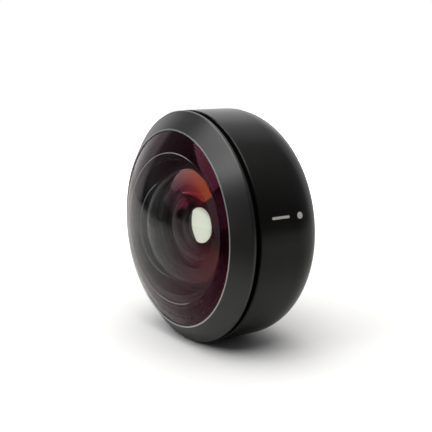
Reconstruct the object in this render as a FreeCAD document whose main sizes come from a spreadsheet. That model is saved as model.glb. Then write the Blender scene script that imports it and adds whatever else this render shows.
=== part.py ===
# Phone fisheye lens: an afocal wide converter with a two-lug bayonet.
#
# Everything turned is drawn in the XY plane, X being the radius and Y the depth behind the front rim,
# and is revolved about Y, the optical axis. Each piece's Placement then moves the rear mounting seat to
# the origin, so the lens looks along -Y and stands on its rim with +Z up.

import FreeCAD, Part
import math
import os
import Sketcher

doc = FreeCAD.newDocument("FisheyeLens")

# Driving dimensions, in millimetres and degrees

sizes = doc.addObject("Spreadsheet::Sheet", "Sizes")
drivingSizes = [
    ("bodyDepth", 18.0, "front rim to mounting seat"),
    ("barrelRadius", 20.0, "outside of the straight barrel"),
    ("barrelWall", 1.4, "wall of the straight barrel"),
    ("seatLand", 0.7, "flat ring of the seat between the mount plate and the barrel's rounding"),
    ("rearWall", 2.0, "rear wall of the barrel, seat to inside"),
    ("barrelChamfer", 0.15, "broken front edge of the barrel"),
    ("fitGap", 0.1, "radial clearance of turned pieces in their bores"),
    ("bezelDepth", 2.9, "depth of the conical ring"),
    ("bezelInset", 0.05, "how far the bezel stays inside the barrel's radius"),
    ("bezelLand", 0.5, "straight edge at the cone's rear"),
    ("bezelRounding", 0.6, "rounding between the cone and that edge"),
    ("grooveWidth", 0.95, "open groove between bezel and barrel"),
    ("grooveDepth", 1.1, "depth of that groove"),
    ("skirtLength", 3.6, "bezel's thread inside the barrel"),
    ("skirtWall", 1.0, "wall of the bezel's skirt"),
    ("lipReach", 0.7, "lip over the front glass's edge"),
    ("lipThickness", 0.6, "lip that holds the front glass"),
    ("rimChamfer", 0.25, "polished chamfer round the opening"),
    ("sealThickness", 0.2, "gasket under the lip"),
    ("domeRadius", 31.0, "front surface of the front glass"),
    ("domeRise", 0.1, "depth of the front surface's edge"),
    ("domeThickness", 1.2, "front glass on the axis"),
    ("domeHollow", 14.8, "rear surface of the front glass"),
    ("domeSeat", 2.4, "depth of the front glass's ground rear face"),
    ("spacerLength", 1.5, "spacer behind the front glass"),
    ("spacerGap", 0.1, "spacer's bore outside the hollow's edge"),
    ("flangeThickness", 1.5, "front flange of the lens cell"),
    ("cellRadius", 13.2, "body of the lens cell"),
    ("tubeRadius", 8.4, "rear tube of the lens cell"),
    ("tubeInset", 0.4, "rear tube's end inside the spigot's end"),
    ("secondVertex", 4.6, "depth of the second glass's front vertex"),
    ("secondFront", 30.0, "front surface of the second glass"),
    ("secondHollow", 9.0, "rear surface of the second glass"),
    ("secondThickness", 1.25, "second glass on the axis"),
    ("secondClear", 8.2, "clear radius of the second glass's front"),
    ("secondRadius", 9.3, "edge of the second glass"),
    ("secondEdge", 2.75, "thickness of the second glass at its edge"),
    ("retainerLength", 1.2, "ring in front of the second glass"),
    ("retainerRadius", 10.4, "outside of that ring"),
    ("retainerLand", 0.1, "how far its bore stays clear of the glass's clear radius"),
    ("stopDepth", 10.5, "depth of the face that the stop ring lies on"),
    ("stopThickness", 0.2, "stop ring"),
    ("stopRadius", 4.3, "opening of the stop ring"),
    ("baffleOpening", 4.9, "narrow end of the cone in front of the stop"),
    ("rearGlassRadius", 6.4, "edge of the pair and of the last glass"),
    ("rearGlassLand", 0.6, "edge of those glasses outside their clear radius"),
    ("pairFront", 300.0, "slightly hollow front surface of the pair"),
    ("pairMiddle", 32.0, "cemented surface of the pair"),
    ("pairRear", 9.0, "rear surface of the pair"),
    ("pairFirst", 0.9, "first glass of the pair on the axis"),
    ("pairSecond", 4.0, "second glass of the pair on the axis"),
    ("lastFront", 22.0, "front surface of the last glass"),
    ("lastRear", 120.0, "rear surface of the last glass"),
    ("lastThickness", 2.0, "last glass on the axis"),
    ("rearRetainerLength", 0.9, "ring behind the last glass"),
    ("exitBevel", 0.35, "bevel of that ring's opening"),
    ("plateReach", 2.8, "mount plate beyond the spigot"),
    ("plateThickness", 1.0, "mount plate"),
    ("spigotWall", 1.5, "wall of the spigot"),
    ("spigotLength", 3.2, "spigot, from the seat"),
    ("spigotChamfer", 0.3, "broken end of the spigot"),
    ("lugGap", 1.8, "seat to the lugs"),
    ("lugThickness", 1.2, "lugs along the axis"),
    ("lugReach", 1.8, "lugs beyond the spigot"),
    ("lugAngle", 56.0, "each lug's share of the circle"),
    ("lugCount", 2, "lugs"),
    ("lugChamfer", 0.25, "broken edges of the lugs"),
    ("leadIn", 0.5, "ramp at each end of a lug"),
    ("detentRadius", 0.5, "spring notch in each lug"),
    ("detentInset", 0.3, "notch's inner end, from the spigot"),
    ("screwCount", 4, "mount screws"),
    ("screwAngle", 45.0, "first screw, from the middle of a lug"),
    ("screwRadius", 0.7, "screw shank"),
    ("screwHeadRadius", 1.15, "countersunk head"),
    ("screwLength", 3.6, "screw, head included"),
    ("screwGap", 0.05, "clearance round the screws"),
    ("screwInset", 0.1, "screw heads below the seat"),
    ("screwHoleReserve", 0.3, "blind hole beyond the screw's tip"),
    ("socketRadius", 0.45, "socket in each screw head"),
    ("socketDepth", 0.5, "socket in each screw head"),
    ("spannerWidth", 1.0, "spanner slots in the retainers"),
    ("spannerDepth", 0.4, "spanner slots in the retainers"),
    ("dustSealSetback", 0.5, "seat to the dust seal's centre"),
    ("dustSealRadius", 0.35, "section of the dust seal"),
    ("dustSealGap", 0.02, "clearance round the dust seal"),
]
for row, (alias, value, meaning) in enumerate(drivingSizes, start=1):
    sizes.set(f"A{row}", meaning)
    sizes.set(f"B{row}", str(value))
    sizes.setAlias(f"B{row}", alias)
doc.recompute()

# Places and sizes that follow from the driving ones, as depths behind the rim or radii

stations = doc.addObject("Spreadsheet::Sheet", "Stations")
derivedSizes = [
    ("barrelFront", "=Sizes.bezelDepth + Sizes.grooveWidth"),
    ("barrelBore", "=Sizes.barrelRadius - Sizes.barrelWall"),
    ("plateFace", "=Sizes.bodyDepth - Sizes.plateThickness"),
    ("spigotBore", "=Sizes.tubeRadius + Sizes.fitGap"),
    ("spigotRadius", "=spigotBore + Sizes.spigotWall"),
    ("plateRadius", "=spigotRadius + Sizes.plateReach"),
    ("plateRecess", "=plateRadius + Sizes.fitGap"),
    ("seatRadius", "=plateRecess + Sizes.seatLand"),
    ("shoulderRadius", "=Sizes.barrelRadius - seatRadius"),
    ("shoulderStart", "=Sizes.bodyDepth - shoulderRadius"),
    ("innerShoulder", "=shoulderRadius - Sizes.barrelWall"),
    ("rearWallFace", "=Sizes.bodyDepth - Sizes.rearWall"),
    ("innerCorner", "=seatRadius + sqrt(innerShoulder^2 - (rearWallFace - shoulderStart)^2)"),
    ("bezelRadius", "=Sizes.barrelRadius - Sizes.bezelInset"),
    ("coneEnd", "=Sizes.bezelDepth - Sizes.bezelLand"),
    ("grooveFloor", "=Sizes.barrelRadius - Sizes.grooveDepth"),
    ("skirtOutside", "=barrelBore - Sizes.fitGap"),
    ("skirtBore", "=skirtOutside - Sizes.skirtWall"),
    ("skirtEnd", "=barrelFront + Sizes.skirtLength"),
    ("domeEdge", "=skirtBore - Sizes.fitGap"),
    ("rimRadius", "=domeEdge - Sizes.lipReach"),
    ("domeLand", "=Sizes.lipThickness + Sizes.sealThickness"),
    ("domeCap", "=rimRadius - Sizes.fitGap"),
    ("domeVertex", "=Sizes.domeRise - Sizes.domeRadius + sqrt(Sizes.domeRadius^2 - domeCap^2)"),
    ("hollowVertex", "=domeVertex + Sizes.domeThickness"),
    ("hollowCentre", "=hollowVertex + Sizes.domeHollow"),
    ("hollowMouth", "=sqrt(Sizes.domeHollow^2 - (hollowCentre - Sizes.domeSeat)^2)"),
    ("spacerBore", "=hollowMouth + Sizes.spacerGap"),
    ("cellFront", "=Sizes.domeSeat + Sizes.spacerLength"),
    ("flangeRear", "=cellFront + Sizes.flangeThickness"),
    ("tubeEnd", "=Sizes.bodyDepth + Sizes.spigotLength - Sizes.tubeInset"),
    ("secondLand", "=Sizes.secondVertex + Sizes.secondFront"
                   " - sqrt(Sizes.secondFront^2 - Sizes.secondClear^2)"),
    ("secondSeat", "=secondLand + Sizes.secondEdge"),
    ("secondHollowVertex", "=Sizes.secondVertex + Sizes.secondThickness"),
    ("secondMouth", "=sqrt(Sizes.secondHollow^2"
                    " - (secondHollowVertex + Sizes.secondHollow - secondSeat)^2)"),
    ("secondBore", "=Sizes.secondRadius + Sizes.fitGap"),
    ("retainerThread", "=Sizes.retainerRadius + Sizes.fitGap"),
    ("retainerBore", "=Sizes.secondClear + Sizes.retainerLand"),
    ("retainerFront", "=secondLand - Sizes.retainerLength"),
    ("baffleMouth", "=secondMouth + Sizes.fitGap"),
    ("rearBore", "=Sizes.rearGlassRadius + Sizes.fitGap"),
    ("rearClear", "=Sizes.rearGlassRadius - Sizes.rearGlassLand"),
    ("pairSeat", "=Sizes.stopDepth + Sizes.stopThickness"),
    ("pairVertex", "=pairSeat + Sizes.pairFront - sqrt(Sizes.pairFront^2 - rearClear^2)"),
    ("pairMiddleVertex", "=pairVertex + Sizes.pairFirst"),
    ("pairMiddleEdge", "=pairMiddleVertex + Sizes.pairMiddle"
                       " - sqrt(Sizes.pairMiddle^2 - Sizes.rearGlassRadius^2)"),
    ("pairRearVertex", "=pairMiddleVertex + Sizes.pairSecond"),
    ("pairRearLand", "=pairRearVertex - Sizes.pairRear + sqrt(Sizes.pairRear^2 - rearClear^2)"),
    ("lastRearLand", "=tubeEnd - Sizes.rearRetainerLength"),
    ("lastRearVertex", "=lastRearLand + Sizes.lastRear - sqrt(Sizes.lastRear^2 - rearClear^2)"),
    ("lastVertex", "=lastRearVertex - Sizes.lastThickness"),
    ("lastFrontLand", "=lastVertex + Sizes.lastFront - sqrt(Sizes.lastFront^2 - rearClear^2)"),
    ("ringBore", "=rearClear + Sizes.fitGap / 2"),
    ("spigotEnd", "=Sizes.bodyDepth + Sizes.spigotLength"),
    ("lugFront", "=Sizes.bodyDepth + Sizes.lugGap"),
    ("lugRear", "=lugFront + Sizes.lugThickness"),
    ("lugRadius", "=spigotRadius + Sizes.lugReach"),
    ("screwCircle", "=(spigotRadius + plateRadius) / 2"),
    ("screwTip", "=Sizes.bodyDepth - Sizes.screwLength"),
    ("screwHeadDepth", "=Sizes.screwHeadRadius - Sizes.screwRadius"),
    ("screwHole", "=Sizes.screwRadius + Sizes.screwGap"),
    ("screwSink", "=Sizes.screwHeadRadius + Sizes.screwInset + Sizes.screwGap"),
    ("sealCircle", "=spigotBore - Sizes.dustSealRadius - Sizes.dustSealGap"),
    ("sealGrooveFloor", "=sealCircle - Sizes.dustSealRadius - Sizes.dustSealGap"),
    ("dustSealDepth", "=Sizes.bodyDepth - Sizes.dustSealSetback"),
    ("sealGrooveFront", "=dustSealDepth - Sizes.dustSealRadius - Sizes.dustSealGap"),
    ("sealGrooveRear", "=dustSealDepth + Sizes.dustSealRadius + Sizes.dustSealGap"),
]
for row, (alias, formula) in enumerate(derivedSizes, start=1):
    stations.set(f"A{row}", alias)
    stations.set(f"B{row}", formula)
    stations.setAlias(f"B{row}", alias)
doc.recompute()

seatAtOrigin = "-Sizes.bodyDepth"


# A point of a turned outline: its name, its radius and its depth. One of the two is left to the
# solver where a spherical surface ends.
def at(name, radius, depth):
    return {"name": name, "radius": radius, "depth": depth}


# A spherical surface between two points, centred on the axis, bulging towards the front or the rear.
def sphere(radius, bulge):
    return {"sphere": radius, "bulge": bulge}


# A quarter round between two points, about a centre given as a radius and a depth.
def quarter(radius, centreRadius, centreDepth):
    return {"quarter": radius, "centre": (centreRadius, centreDepth)}


def valueOf(expression):
    return float(stations.evalExpression(expression))


def newBody(label):
    body = doc.addObject("PartDesign::Body", label)
    body.Label = label
    body.setExpression("Placement.Base.y", seatAtOrigin)
    return body


def attachedSketch(body, name, planeRole):
    sketch = body.newObject("Sketcher::SketchObject", name)
    plane = next(item for item in body.Origin.OriginFeatures if item.Role == planeRole)
    sketch.AttachmentSupport = [(plane, "")]
    sketch.MapMode = "FlatFace"
    return sketch


def bind(sketch, constraint, name, expression):
    index = sketch.addConstraint(constraint)
    sketch.renameConstraint(index, name)
    sketch.setExpression(f"Constraints.{name}", expression)


# The first guess of each point, so that the solver starts on the right side of every surface.
def outlinePoints(outline):
    points = {}
    for index, item in enumerate(outline):
        if "name" not in item:
            continue
        radius = item["radius"]
        depth = item["depth"]
        if radius is None or depth is None:
            previous = outline[index - 1]
            surface = previous if "sphere" in previous else outline[(index + 1) % len(outline)]
            vertex = outline[index - 2] if surface is previous else outline[(index + 2) % len(outline)]
            size = valueOf(surface["sphere"])
            vertexDepth = valueOf(vertex["depth"])
            centre = vertexDepth + size * surface["bulge"]
            if depth is None:
                x = valueOf(radius)
                y = centre - surface["bulge"] * math.sqrt(size**2 - x**2)
            else:
                y = valueOf(depth)
                x = math.sqrt(size**2 - (y - centre)**2)
        else:
            x = valueOf(radius)
            y = valueOf(depth)
        points[item["name"]] = (x, y)
    return points


def arcBetween(start, end, centre, size):
    first = math.atan2(start[1] - centre[1], start[0] - centre[0])
    last = math.atan2(end[1] - centre[1], end[0] - centre[0])
    turn = (last - first + math.pi) % (2 * math.pi) - math.pi
    circle = Part.Circle(FreeCAD.Vector(centre[0], centre[1], 0), FreeCAD.Vector(0, 0, 1), size)
    if turn > 0:
        return Part.ArcOfCircle(circle, first, first + turn), 1, 2
    return Part.ArcOfCircle(circle, last, last - turn), 2, 1


# A closed outline in a sketch: lines, spherical surfaces and quarter rounds, each point held by its
# own radius and depth.
def drawOutline(sketch, outline):
    axis = -2
    points = outlinePoints(outline)
    corners = [item for item in outline if "name" in item]
    ends = []
    for index, corner in enumerate(corners):
        following = corners[(index + 1) % len(corners)]
        place = outline.index(corner)
        between = outline[(place + 1) % len(outline)]
        start = points[corner["name"]]
        end = points[following["name"]]
        if "sphere" in between:
            size = valueOf(between["sphere"])
            vertex = corner if corner["radius"] == "0" else following
            centre = (0.0, points[vertex["name"]][1] + size * between["bulge"])
            curve, startPos, endPos = arcBetween(start, end, centre, size)
            edge = sketch.addGeometry(curve, False)
            sketch.addConstraint(Sketcher.Constraint("PointOnObject", edge, 3, axis))
            radius = Sketcher.Constraint("Radius", edge, size)
            bind(sketch, radius, f"{corner['name']}Sphere", between["sphere"])
        elif "quarter" in between:
            size = valueOf(between["quarter"])
            centre = tuple(valueOf(item) for item in between["centre"])
            curve, startPos, endPos = arcBetween(start, end, centre, size)
            edge = sketch.addGeometry(curve, False)
            radius = Sketcher.Constraint("Radius", edge, size)
            bind(sketch, radius, f"{corner['name']}Round", between["quarter"])
        else:
            line = Part.LineSegment(FreeCAD.Vector(*start, 0), FreeCAD.Vector(*end, 0))
            edge = sketch.addGeometry(line, False)
            startPos, endPos = 1, 2
        ends.append((edge, startPos, endPos))
    for index, corner in enumerate(corners):
        edge, startPos, endPos = ends[index]
        lastEdge, _, lastEnd = ends[index - 1]
        sketch.addConstraint(Sketcher.Constraint("Coincident", lastEdge, lastEnd, edge, startPos))
        x, y = points[corner["name"]]
        if corner["radius"] == "0":
            sketch.addConstraint(Sketcher.Constraint("PointOnObject", edge, startPos, axis))
        elif corner["radius"] is not None:
            across = Sketcher.Constraint("DistanceX", -1, 1, edge, startPos, x)
            bind(sketch, across, f"{corner['name']}Radius", corner["radius"])
        if corner["depth"] is not None:
            along = Sketcher.Constraint("DistanceY", -1, 1, edge, startPos, y)
            bind(sketch, along, f"{corner['name']}Depth", corner["depth"])


def turned(body, name, outline):
    sketch = attachedSketch(body, f"{name}Outline", "XY_Plane")
    drawOutline(sketch, outline)
    doc.recompute()
    revolution = body.newObject("PartDesign::Revolution", name)
    revolution.Profile = sketch
    revolution.ReferenceAxis = (sketch, ["V_Axis"])
    revolution.Angle = 360
    sketch.Visibility = False
    doc.recompute()
    return revolution


# Copies of a feature round the optical axis. The tip moves to the pattern.
def aroundAxis(body, name, features, countAlias):
    pattern = body.newObject("PartDesign::PolarPattern", name)
    pattern.Originals = features
    axis = next(item for item in body.Origin.OriginFeatures if item.Role == "Y_Axis")
    pattern.Axis = (axis, [""])
    pattern.Angle = 360
    pattern.setExpression("Occurrences", f"Sizes.{countAlias}")
    body.Tip = pattern
    doc.recompute()
    return pattern


# Names of the edges that a test picks out of a feature.
def edgeNames(feature, test):
    return [f"Edge{number}" for number, edge in enumerate(feature.Shape.Edges, start=1) if test(edge)]


def isRing(edge, radius, depth):
    if not isinstance(edge.Curve, Part.Circle):
        return False
    centre = edge.Curve.Center
    return abs(edge.Curve.Radius - radius) < 1e-6 and abs(centre.y - depth) < 1e-6


def ringEdges(feature, radius, depth):
    size = valueOf(radius)
    place = valueOf(depth)
    return edgeNames(feature, lambda edge: isRing(edge, size, place))


# A sketch facing the axis, at a given depth. Its own X and Y are the lens's X and Z.
def sketchAcross(body, name, depth):
    sketch = attachedSketch(body, name, "XZ_Plane")
    sketch.setExpression("AttachmentOffset.Base.z", f"-({depth})")
    doc.recompute()
    return sketch


# A cut from a sketch across the axis, towards the rear or the front.
def pocket(body, name, sketch, length, towardsFront):
    before = body.Shape.Volume
    cut = body.newObject("PartDesign::Pocket", name)
    cut.Profile = sketch
    cut.Reversed = towardsFront
    cut.setExpression("Length", length)
    sketch.Visibility = False
    doc.recompute()
    if body.Shape.Volume >= before:
        raise RuntimeError(f"{name} cuts nothing")
    return cut


# One round hole's circle, on the screws' circle.
def screwCircleSketch(body, name, depth, radius):
    sketch = sketchAcross(body, name, depth)
    angle = math.radians(valueOf("Sizes.screwAngle"))
    reach = valueOf("Stations.screwCircle")
    centre = FreeCAD.Vector(reach * math.cos(angle), reach * math.sin(angle), 0)
    sketch.addGeometry(Part.Circle(centre, FreeCAD.Vector(0, 0, 1), valueOf(radius)), False)
    across = Sketcher.Constraint("DistanceX", -1, 1, 0, 3, centre.x)
    upward = Sketcher.Constraint("DistanceY", -1, 1, 0, 3, centre.y)
    bind(sketch, across, "holeAcross", "Stations.screwCircle * cos(Sizes.screwAngle)")
    bind(sketch, upward, "holeUp", "Stations.screwCircle * sin(Sizes.screwAngle)")
    bind(sketch, Sketcher.Constraint("Radius", 0, valueOf(radius)), "holeRadius", radius)
    doc.recompute()
    return sketch


# Two slots for a pin spanner, cut across a ring's face.
def spannerSlots(body, name, depth, radius, towardsFront):
    sketch = sketchAcross(body, f"{name}Outline", depth)
    reach = valueOf(radius)
    half = valueOf("Sizes.spannerWidth") / 2
    corners = [(-reach, -half), (reach, -half), (reach, half), (-reach, half)]
    for start, end in zip(corners, corners[1:] + corners[:1]):
        line = Part.LineSegment(FreeCAD.Vector(*start, 0), FreeCAD.Vector(*end, 0))
        sketch.addGeometry(line, False)
    for edge, direction in enumerate(["Horizontal", "Vertical", "Horizontal", "Vertical"]):
        sketch.addConstraint(Sketcher.Constraint("Coincident", edge, 2, (edge + 1) % 4, 1))
        sketch.addConstraint(Sketcher.Constraint(direction, edge))
    sketch.addConstraint(Sketcher.Constraint("Symmetric", 0, 1, 2, 1, -1, 1))
    bind(sketch, Sketcher.Constraint("Distance", 0, 2 * reach), "slotReach", f"2 * {radius}")
    bind(sketch, Sketcher.Constraint("Distance", 1, 2 * half), "slotWidth", "Sizes.spannerWidth")
    doc.recompute()
    return pocket(body, name, sketch, "Sizes.spannerDepth", towardsFront)


# Front bezel: a cone outside, a lip and a bore inside, a neck under the groove, a skirt in the barrel

bezel = newBody("front_bezel_ring")
bezelTurning = turned(bezel, "BezelTurning", [
    at("rimOuter", "Stations.rimRadius + Sizes.rimChamfer", "0"),
    at("coneRear", "Stations.bezelRadius", "Stations.coneEnd"),
    at("edgeRear", "Stations.bezelRadius", "Sizes.bezelDepth"),
    at("grooveWall", "Stations.grooveFloor", "Sizes.bezelDepth"),
    at("neckRear", "Stations.grooveFloor", "Stations.barrelFront"),
    at("skirtFront", "Stations.skirtOutside", "Stations.barrelFront"),
    at("skirtRearOuter", "Stations.skirtOutside", "Stations.skirtEnd"),
    at("skirtRearInner", "Stations.skirtBore", "Stations.skirtEnd"),
    at("lipRear", "Stations.skirtBore", "Sizes.lipThickness"),
    at("lipInner", "Stations.rimRadius", "Sizes.lipThickness"),
    at("rimInner", "Stations.rimRadius", "Sizes.rimChamfer"),
])
bezelEdge = bezel.newObject("PartDesign::Fillet", "BezelEdge")
bezelEdge.Base = (bezelTurning, ringEdges(bezelTurning, "Stations.bezelRadius", "Stations.coneEnd"))
bezelEdge.setExpression("Radius", "Sizes.bezelRounding")

# Gasket between the bezel's lip and the front glass

frontSeal = newBody("front_seal_ring")
turned(frontSeal, "FrontSealTurning", [
    at("frontInner", "Stations.rimRadius + Sizes.fitGap", "Sizes.lipThickness"),
    at("frontOuter", "Stations.domeEdge", "Sizes.lipThickness"),
    at("rearOuter", "Stations.domeEdge", "Stations.domeLand"),
    at("rearInner", "Stations.rimRadius + Sizes.fitGap", "Stations.domeLand"),
])

# Front glass: a meniscus whose deep hollow ends in a flat ground ring

dome = newBody("front_dome_element")
turned(dome, "DomeGrinding", [
    at("frontVertex", "0", "Stations.domeVertex"),
    sphere("Sizes.domeRadius", 1),
    at("capEdge", "Stations.domeCap", None),
    at("stepFoot", "Stations.domeCap", "Stations.domeLand"),
    at("landOuter", "Stations.domeEdge", "Stations.domeLand"),
    at("rearOuter", "Stations.domeEdge", "Sizes.domeSeat"),
    at("hollowMouth", None, "Sizes.domeSeat"),
    sphere("Sizes.domeHollow", 1),
    at("hollowVertex", "0", "Stations.hollowVertex"),
])

# Spacer between the front glass and the cell

domeSpacer = newBody("dome_spacer_ring")
turned(domeSpacer, "DomeSpacerTurning", [
    at("frontInner", "Stations.spacerBore", "Sizes.domeSeat"),
    at("frontOuter", "Stations.domeEdge", "Sizes.domeSeat"),
    at("rearOuter", "Stations.domeEdge", "Stations.cellFront"),
    at("rearInner", "Stations.spacerBore", "Stations.cellFront"),
])

# Barrel: a straight shell that rounds off to the rear wall, with a recess for the mount plate

barrel = newBody("barrel_shell")
barrelTurning = turned(barrel, "BarrelTurning", [
    at("frontOuter", "Sizes.barrelRadius", "Stations.barrelFront"),
    at("shoulderOuter", "Sizes.barrelRadius", "Stations.shoulderStart"),
    quarter("Stations.shoulderRadius", "Stations.seatRadius", "Stations.shoulderStart"),
    at("seatOuter", "Stations.seatRadius", "Sizes.bodyDepth"),
    at("recessMouth", "Stations.plateRecess", "Sizes.bodyDepth"),
    at("recessFloor", "Stations.plateRecess", "Stations.plateFace"),
    at("boreRear", "Stations.spigotBore", "Stations.plateFace"),
    at("boreFront", "Stations.spigotBore", "Stations.rearWallFace"),
    at("wallCorner", "Stations.innerCorner", "Stations.rearWallFace"),
    quarter("Stations.innerShoulder", "Stations.seatRadius", "Stations.shoulderStart"),
    at("shoulderInner", "Stations.barrelBore", "Stations.shoulderStart"),
    at("frontInner", "Stations.barrelBore", "Stations.barrelFront"),
])
barrelEdge = barrel.newObject("PartDesign::Chamfer", "BarrelEdge")
barrelEdge.Base = (barrelTurning, ringEdges(barrelTurning, "Sizes.barrelRadius", "Stations.barrelFront"))
barrelEdge.setExpression("Size", "Sizes.barrelChamfer")
doc.recompute()
barrelHoleSketch = screwCircleSketch(barrel, "BarrelHoleOutline", "Stations.plateFace",
                                     "Stations.screwHole")
barrelHole = pocket(barrel, "BarrelHole", barrelHoleSketch, "Sizes.rearWall", True)
aroundAxis(barrel, "BarrelHoles", [barrelHole], "screwCount")

# Lens cell: a front flange, a stepped bore with a seat for each glass, a cone that traps stray light,
# and a rear tube that passes through the barrel and the mount

cell = newBody("inner_lens_cell")
turned(cell, "CellTurning", [
    at("flangeInner", "Stations.retainerThread", "Stations.cellFront"),
    at("flangeOuter", "Stations.domeEdge", "Stations.cellFront"),
    at("flangeRear", "Stations.domeEdge", "Stations.flangeRear"),
    at("bodyFront", "Sizes.cellRadius", "Stations.flangeRear"),
    at("bodyRear", "Sizes.cellRadius", "Stations.rearWallFace"),
    at("tubeFront", "Sizes.tubeRadius", "Stations.rearWallFace"),
    at("sealFront", "Sizes.tubeRadius", "Stations.sealGrooveFront"),
    at("sealFloorFront", "Stations.sealGrooveFloor", "Stations.sealGrooveFront"),
    at("sealFloorRear", "Stations.sealGrooveFloor", "Stations.sealGrooveRear"),
    at("sealRear", "Sizes.tubeRadius", "Stations.sealGrooveRear"),
    at("tubeRear", "Sizes.tubeRadius", "Stations.tubeEnd"),
    at("rearMouth", "Stations.rearBore", "Stations.tubeEnd"),
    at("stopSeatOuter", "Stations.rearBore", "Sizes.stopDepth"),
    at("coneNarrow", "Sizes.baffleOpening", "Sizes.stopDepth"),
    at("coneWide", "Stations.baffleMouth", "Stations.secondSeat"),
    at("secondSeatOuter", "Stations.secondBore", "Stations.secondSeat"),
    at("secondBoreFront", "Stations.secondBore", "Stations.secondLand"),
    at("threadRear", "Stations.retainerThread", "Stations.secondLand"),
])
cellHoleSketch = screwCircleSketch(cell, "CellHoleOutline", "Stations.rearWallFace", "Stations.screwHole")
cellHole = pocket(cell, "CellHole", cellHoleSketch,
                  "Stations.rearWallFace - Stations.screwTip + Sizes.screwHoleReserve", True)
aroundAxis(cell, "CellHoles", [cellHole], "screwCount")

# Rubber ring in the cell's groove

dustSeal = doc.addObject("Part::Torus", "DustSeal")
dustSeal.Label = "dust_seal_ring"
dustSeal.Placement = FreeCAD.Placement(FreeCAD.Vector(), FreeCAD.Rotation(FreeCAD.Vector(1, 0, 0), 90))
dustSeal.setExpression("Radius1", "Stations.sealCircle")
dustSeal.setExpression("Radius2", "Sizes.dustSealRadius")
dustSeal.setExpression("Placement.Base.y", "-Sizes.dustSealSetback")

# Second glass, a smaller meniscus, and the threaded ring that holds it

second = newBody("second_element")
turned(second, "SecondGrinding", [
    at("frontVertex", "0", "Sizes.secondVertex"),
    sphere("Sizes.secondFront", 1),
    at("capEdge", "Sizes.secondClear", None),
    at("landOuter", "Sizes.secondRadius", "Stations.secondLand"),
    at("rearOuter", "Sizes.secondRadius", "Stations.secondSeat"),
    at("hollowMouth", None, "Stations.secondSeat"),
    sphere("Sizes.secondHollow", 1),
    at("hollowVertex", "0", "Stations.secondHollowVertex"),
])

secondRetainer = newBody("second_element_retainer")
turned(secondRetainer, "SecondRetainerTurning", [
    at("frontInner", "Stations.retainerBore", "Stations.retainerFront"),
    at("frontOuter", "Sizes.retainerRadius", "Stations.retainerFront"),
    at("rearOuter", "Sizes.retainerRadius", "Stations.secondLand"),
    at("rearInner", "Stations.retainerBore", "Stations.secondLand"),
])
spannerSlots(secondRetainer, "SecondRetainerSlots", "Stations.retainerFront", "Sizes.retainerRadius",
             False)

# Stop ring, in front of the cemented pair

stopRing = newBody("aperture_stop_ring")
turned(stopRing, "StopTurning", [
    at("frontInner", "Sizes.stopRadius", "Sizes.stopDepth"),
    at("frontOuter", "Sizes.rearGlassRadius", "Sizes.stopDepth"),
    at("rearOuter", "Sizes.rearGlassRadius", "Stations.pairSeat"),
    at("rearInner", "Sizes.stopRadius", "Stations.pairSeat"),
])

# Cemented pair: its two glasses share one surface

pairFirst = newBody("doublet_front_element")
turned(pairFirst, "PairFirstGrinding", [
    at("frontVertex", "0", "Stations.pairVertex"),
    sphere("Sizes.pairFront", -1),
    at("clearEdge", "Stations.rearClear", None),
    at("landOuter", "Sizes.rearGlassRadius", "Stations.pairSeat"),
    at("cementEdge", "Sizes.rearGlassRadius", None),
    sphere("Sizes.pairMiddle", 1),
    at("cementVertex", "0", "Stations.pairMiddleVertex"),
])

pairSecond = newBody("doublet_rear_element")
turned(pairSecond, "PairSecondGrinding", [
    at("cementVertex", "0", "Stations.pairMiddleVertex"),
    sphere("Sizes.pairMiddle", 1),
    at("cementEdge", "Sizes.rearGlassRadius", None),
    at("landOuter", "Sizes.rearGlassRadius", "Stations.pairRearLand"),
    at("clearEdge", "Stations.rearClear", None),
    sphere("Sizes.pairRear", -1),
    at("rearVertex", "0", "Stations.pairRearVertex"),
])

# Spacer between the pair and the last glass

pairSpacer = newBody("doublet_spacer_ring")
turned(pairSpacer, "PairSpacerTurning", [
    at("frontInner", "Stations.ringBore", "Stations.pairRearLand"),
    at("frontOuter", "Sizes.rearGlassRadius", "Stations.pairRearLand"),
    at("rearOuter", "Sizes.rearGlassRadius", "Stations.lastFrontLand"),
    at("rearInner", "Stations.ringBore", "Stations.lastFrontLand"),
])

# Last glass and the threaded ring that holds it

last = newBody("rear_element")
turned(last, "LastGrinding", [
    at("frontVertex", "0", "Stations.lastVertex"),
    sphere("Sizes.lastFront", 1),
    at("frontClear", "Stations.rearClear", None),
    at("frontOuter", "Sizes.rearGlassRadius", "Stations.lastFrontLand"),
    at("rearOuter", "Sizes.rearGlassRadius", "Stations.lastRearLand"),
    at("rearClear", "Stations.rearClear", None),
    sphere("Sizes.lastRear", -1),
    at("rearVertex", "0", "Stations.lastRearVertex"),
])

rearRetainer = newBody("rear_retainer")
turned(rearRetainer, "RearRetainerTurning", [
    at("frontInner", "Stations.ringBore", "Stations.lastRearLand"),
    at("frontOuter", "Sizes.rearGlassRadius", "Stations.lastRearLand"),
    at("rearOuter", "Sizes.rearGlassRadius", "Stations.tubeEnd"),
    at("bevelOuter", "Stations.ringBore + Sizes.exitBevel", "Stations.tubeEnd"),
    at("bevelInner", "Stations.ringBore", "Stations.tubeEnd - Sizes.exitBevel"),
])
spannerSlots(rearRetainer, "RearRetainerSlots", "Stations.tubeEnd", "Sizes.rearGlassRadius", True)

# Bayonet mount: a plate screwed into the barrel's recess, a spigot, and lugs that turn behind the
# phone case's own plate. Each lug has a spring notch in the middle and a ramp at each end.

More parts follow.
